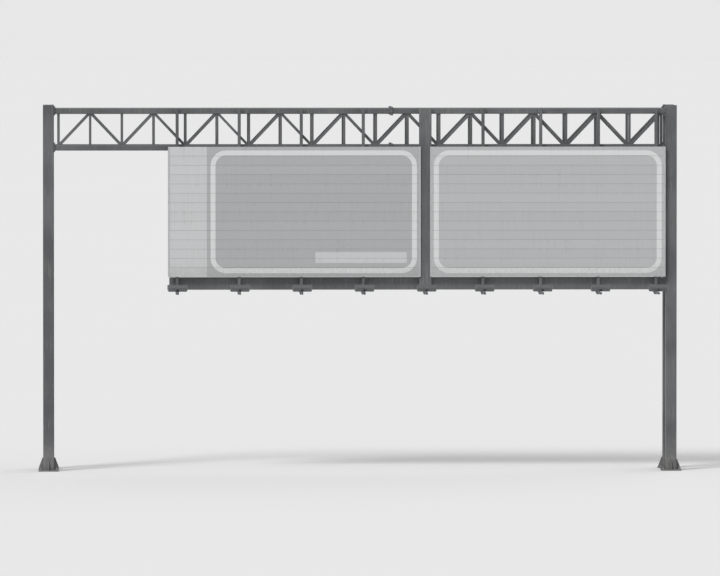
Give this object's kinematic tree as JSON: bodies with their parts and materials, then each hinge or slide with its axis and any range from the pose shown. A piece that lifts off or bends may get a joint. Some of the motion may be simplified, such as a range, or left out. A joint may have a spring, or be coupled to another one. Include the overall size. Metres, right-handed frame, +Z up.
{
  "type": "overhead sign gantry",
  "caption": "Road gantry: a lattice box beam on two braced legs carries two bare sign faces on hangers, with a walkway and lights at their lower edges.",
  "frame": {"origin": "on the ground, under the middle of the overall box", "axes": "+Z up, +X along the beam to the right of a driver who faces the signs, the signs face -Y"},
  "size_m": [20.75, 3.815, 11.8],
  "materials": {
    "painted_steel": "satin",
    "galvanised_steel": "matt",
    "floor_grating": "matt",
    "sign_sheet": "satin",
    "sign_trim": "satin",
    "light_housing": "satin",
    "light_inside": "bright",
    "light_glass": "clear"
  },
  "bodies": {
    "root": {"base_plate_left_front": "painted_steel", "base_plate_left_rear": "painted_steel", "base_plate_right_front": "painted_steel", "base_plate_right_rear": "painted_steel", "base_fins_left": "painted_steel", "base_fins_right": "painted_steel", "column_left_front": "painted_steel", "column_left_rear": "painted_steel", "column_right_front": "painted_steel", "column_right_rear": "painted_steel", "leg_bracing_left": "painted_steel", "leg_bracing_right": "painted_steel", "chord_top_front": "painted_steel", "chord_top_rear": "painted_steel", "chord_bottom_front": "painted_steel", "chord_bottom_rear": "painted_steel", "end_plates_left": "painted_steel", "end_plates_right": "painted_steel", "splice_plates_left": "painted_steel", "splice_plates_right": "painted_steel", "lacing_front": "painted_steel", "lacing_rear": "painted_steel", "lacing_top": "painted_steel", "lacing_bottom": "painted_steel", "hangers_left_sign": "painted_steel", "hanger_between_signs": "painted_steel", "hangers_right_sign": "painted_steel", "hanger_cleats_top": "painted_steel", "hanger_cleats_bottom": "painted_steel", "walkway_bearers": "painted_steel", "walkway_channel_front": "painted_steel", "toe_boards": "painted_steel", "light_arms": "painted_steel", "walkway_channel_rear": "galvanised_steel", "handrail_stanchions": "galvanised_steel", "handrail_rails": "galvanised_steel", "end_guards": "galvanised_steel", "walkway_floor": "floor_grating", "sign_planks_left": "sign_sheet", "sign_planks_right": "sign_sheet", "sign_trim_left": "sign_trim", "sign_trim_right": "sign_trim", "light_housings": "light_housing", "light_reflectors": "light_inside", "light_glasses": "light_glass"}
  },
  "joints": []
}
